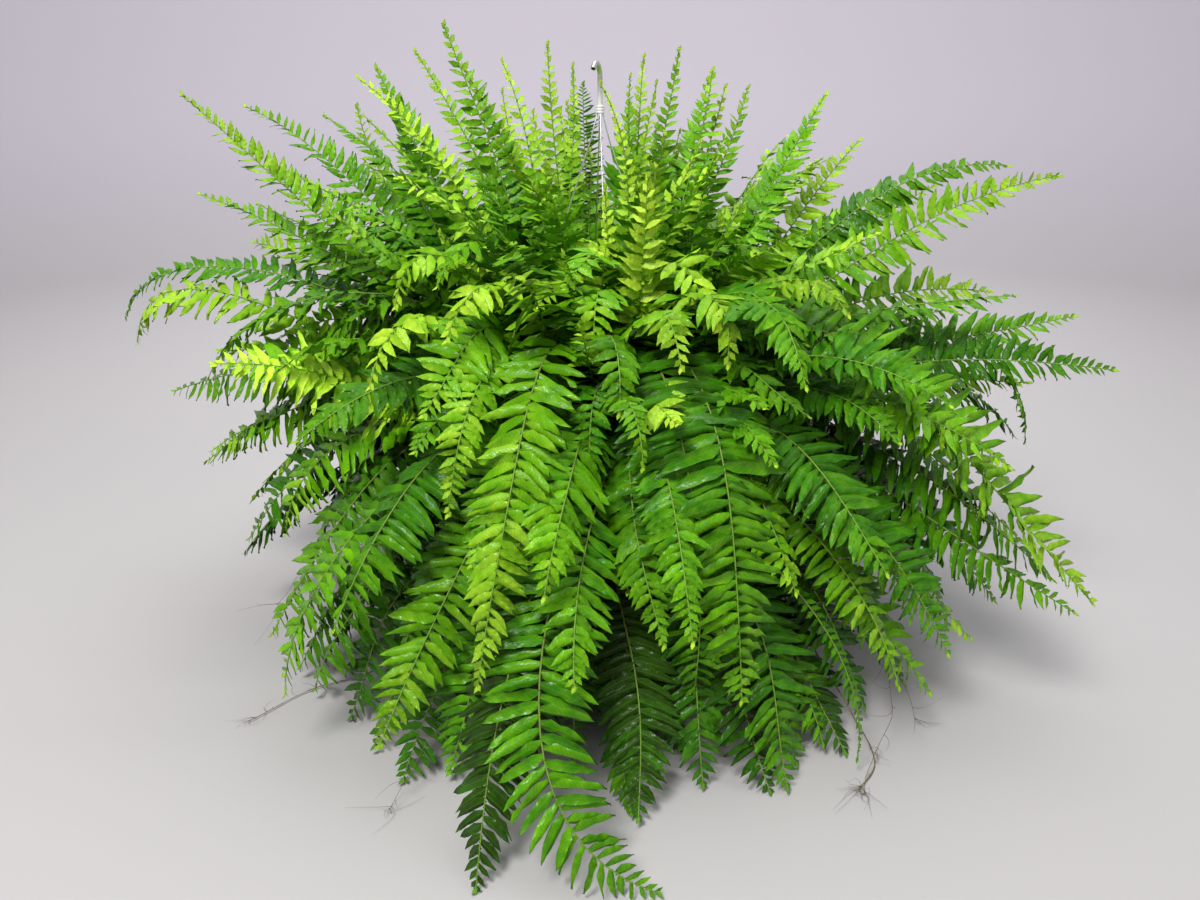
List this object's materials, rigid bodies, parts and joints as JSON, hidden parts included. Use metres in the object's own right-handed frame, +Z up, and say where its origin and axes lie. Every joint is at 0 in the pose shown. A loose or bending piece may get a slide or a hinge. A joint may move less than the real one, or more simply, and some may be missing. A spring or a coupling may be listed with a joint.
{
  "type": "boston fern hanging basket",
  "caption": "Boston fern with long arching fronds in a dark hanging pot with a wire hanger and hook, standing on its base.",
  "frame": {"origin": "centre of the pot's underside, where the pot stands", "axes": "+Z up through the pot's axis to the hook, +X to the right and -Y to the front of the plant"},
  "size_m": [1.0057, 0.9272, 0.635],
  "materials": {
    "pot_plastic": "satin",
    "soil": "matte",
    "hanger_steel": "satin",
    "frond_green": "satin",
    "frond_young": "satin",
    "frond_shade": "satin",
    "runner_tan": "matte"
  },
  "bodies": {
    "root": {"frond_crest_01": "frond_young", "frond_crest_02": "frond_young", "frond_crest_03": "frond_young", "frond_crest_04": "frond_young", "frond_crest_05": "frond_young", "frond_shoulder_01": "frond_green", "frond_shoulder_02": "frond_green", "frond_shoulder_03": "frond_green", "frond_shoulder_04": "frond_green", "frond_shoulder_05": "frond_green", "frond_shoulder_06": "frond_green", "frond_shoulder_07": "frond_green", "frond_shoulder_08": "frond_green", "frond_shoulder_09": "frond_green", "frond_shoulder_10": "frond_green", "frond_skirt_01": "frond_shade", "frond_skirt_02": "frond_shade", "frond_skirt_03": "frond_shade", "frond_skirt_04": "frond_shade", "frond_skirt_05": "frond_shade", "frond_skirt_06": "frond_shade", "frond_skirt_07": "frond_shade", "frond_skirt_08": "frond_shade", "frond_skirt_09": "frond_shade", "frond_skirt_10": "frond_shade", "frond_skirt_11": "frond_shade", "frond_skirt_12": "frond_shade", "frond_upper_01": "frond_green", "frond_upper_02": "frond_green", "frond_upper_03": "frond_green", "frond_upper_04": "frond_green", "frond_upper_05": "frond_green", "frond_upper_06": "frond_green", "frond_upper_07": "frond_green", "frond_upper_08": "frond_green", "frond_upper_09": "frond_green", "frond_upper_10": "frond_green", "frond_waist_01": "frond_green", "frond_waist_02": "frond_green", "frond_waist_03": "frond_green", "frond_waist_04": "frond_green", "frond_waist_05": "frond_green", "frond_waist_06": "frond_green", "frond_waist_07": "frond_green", "frond_waist_08": "frond_green", "frond_waist_09": "frond_green", "frond_waist_10": "frond_green", "frond_waist_11": "frond_green", "frond_waist_12": "frond_green", "hanger_ferrule": "hanger_steel", "hanger_hook": "hanger_steel", "hanger_wire_1": "hanger_steel", "hanger_wire_2": "hanger_steel", "hanger_wire_3": "hanger_steel", "hanger_wire_4": "hanger_steel", "pot": "pot_plastic", "runner_front": "runner_tan", "runner_left": "runner_tan", "runner_right": "runner_tan", "soil": "soil"}
  },
  "joints": []
}
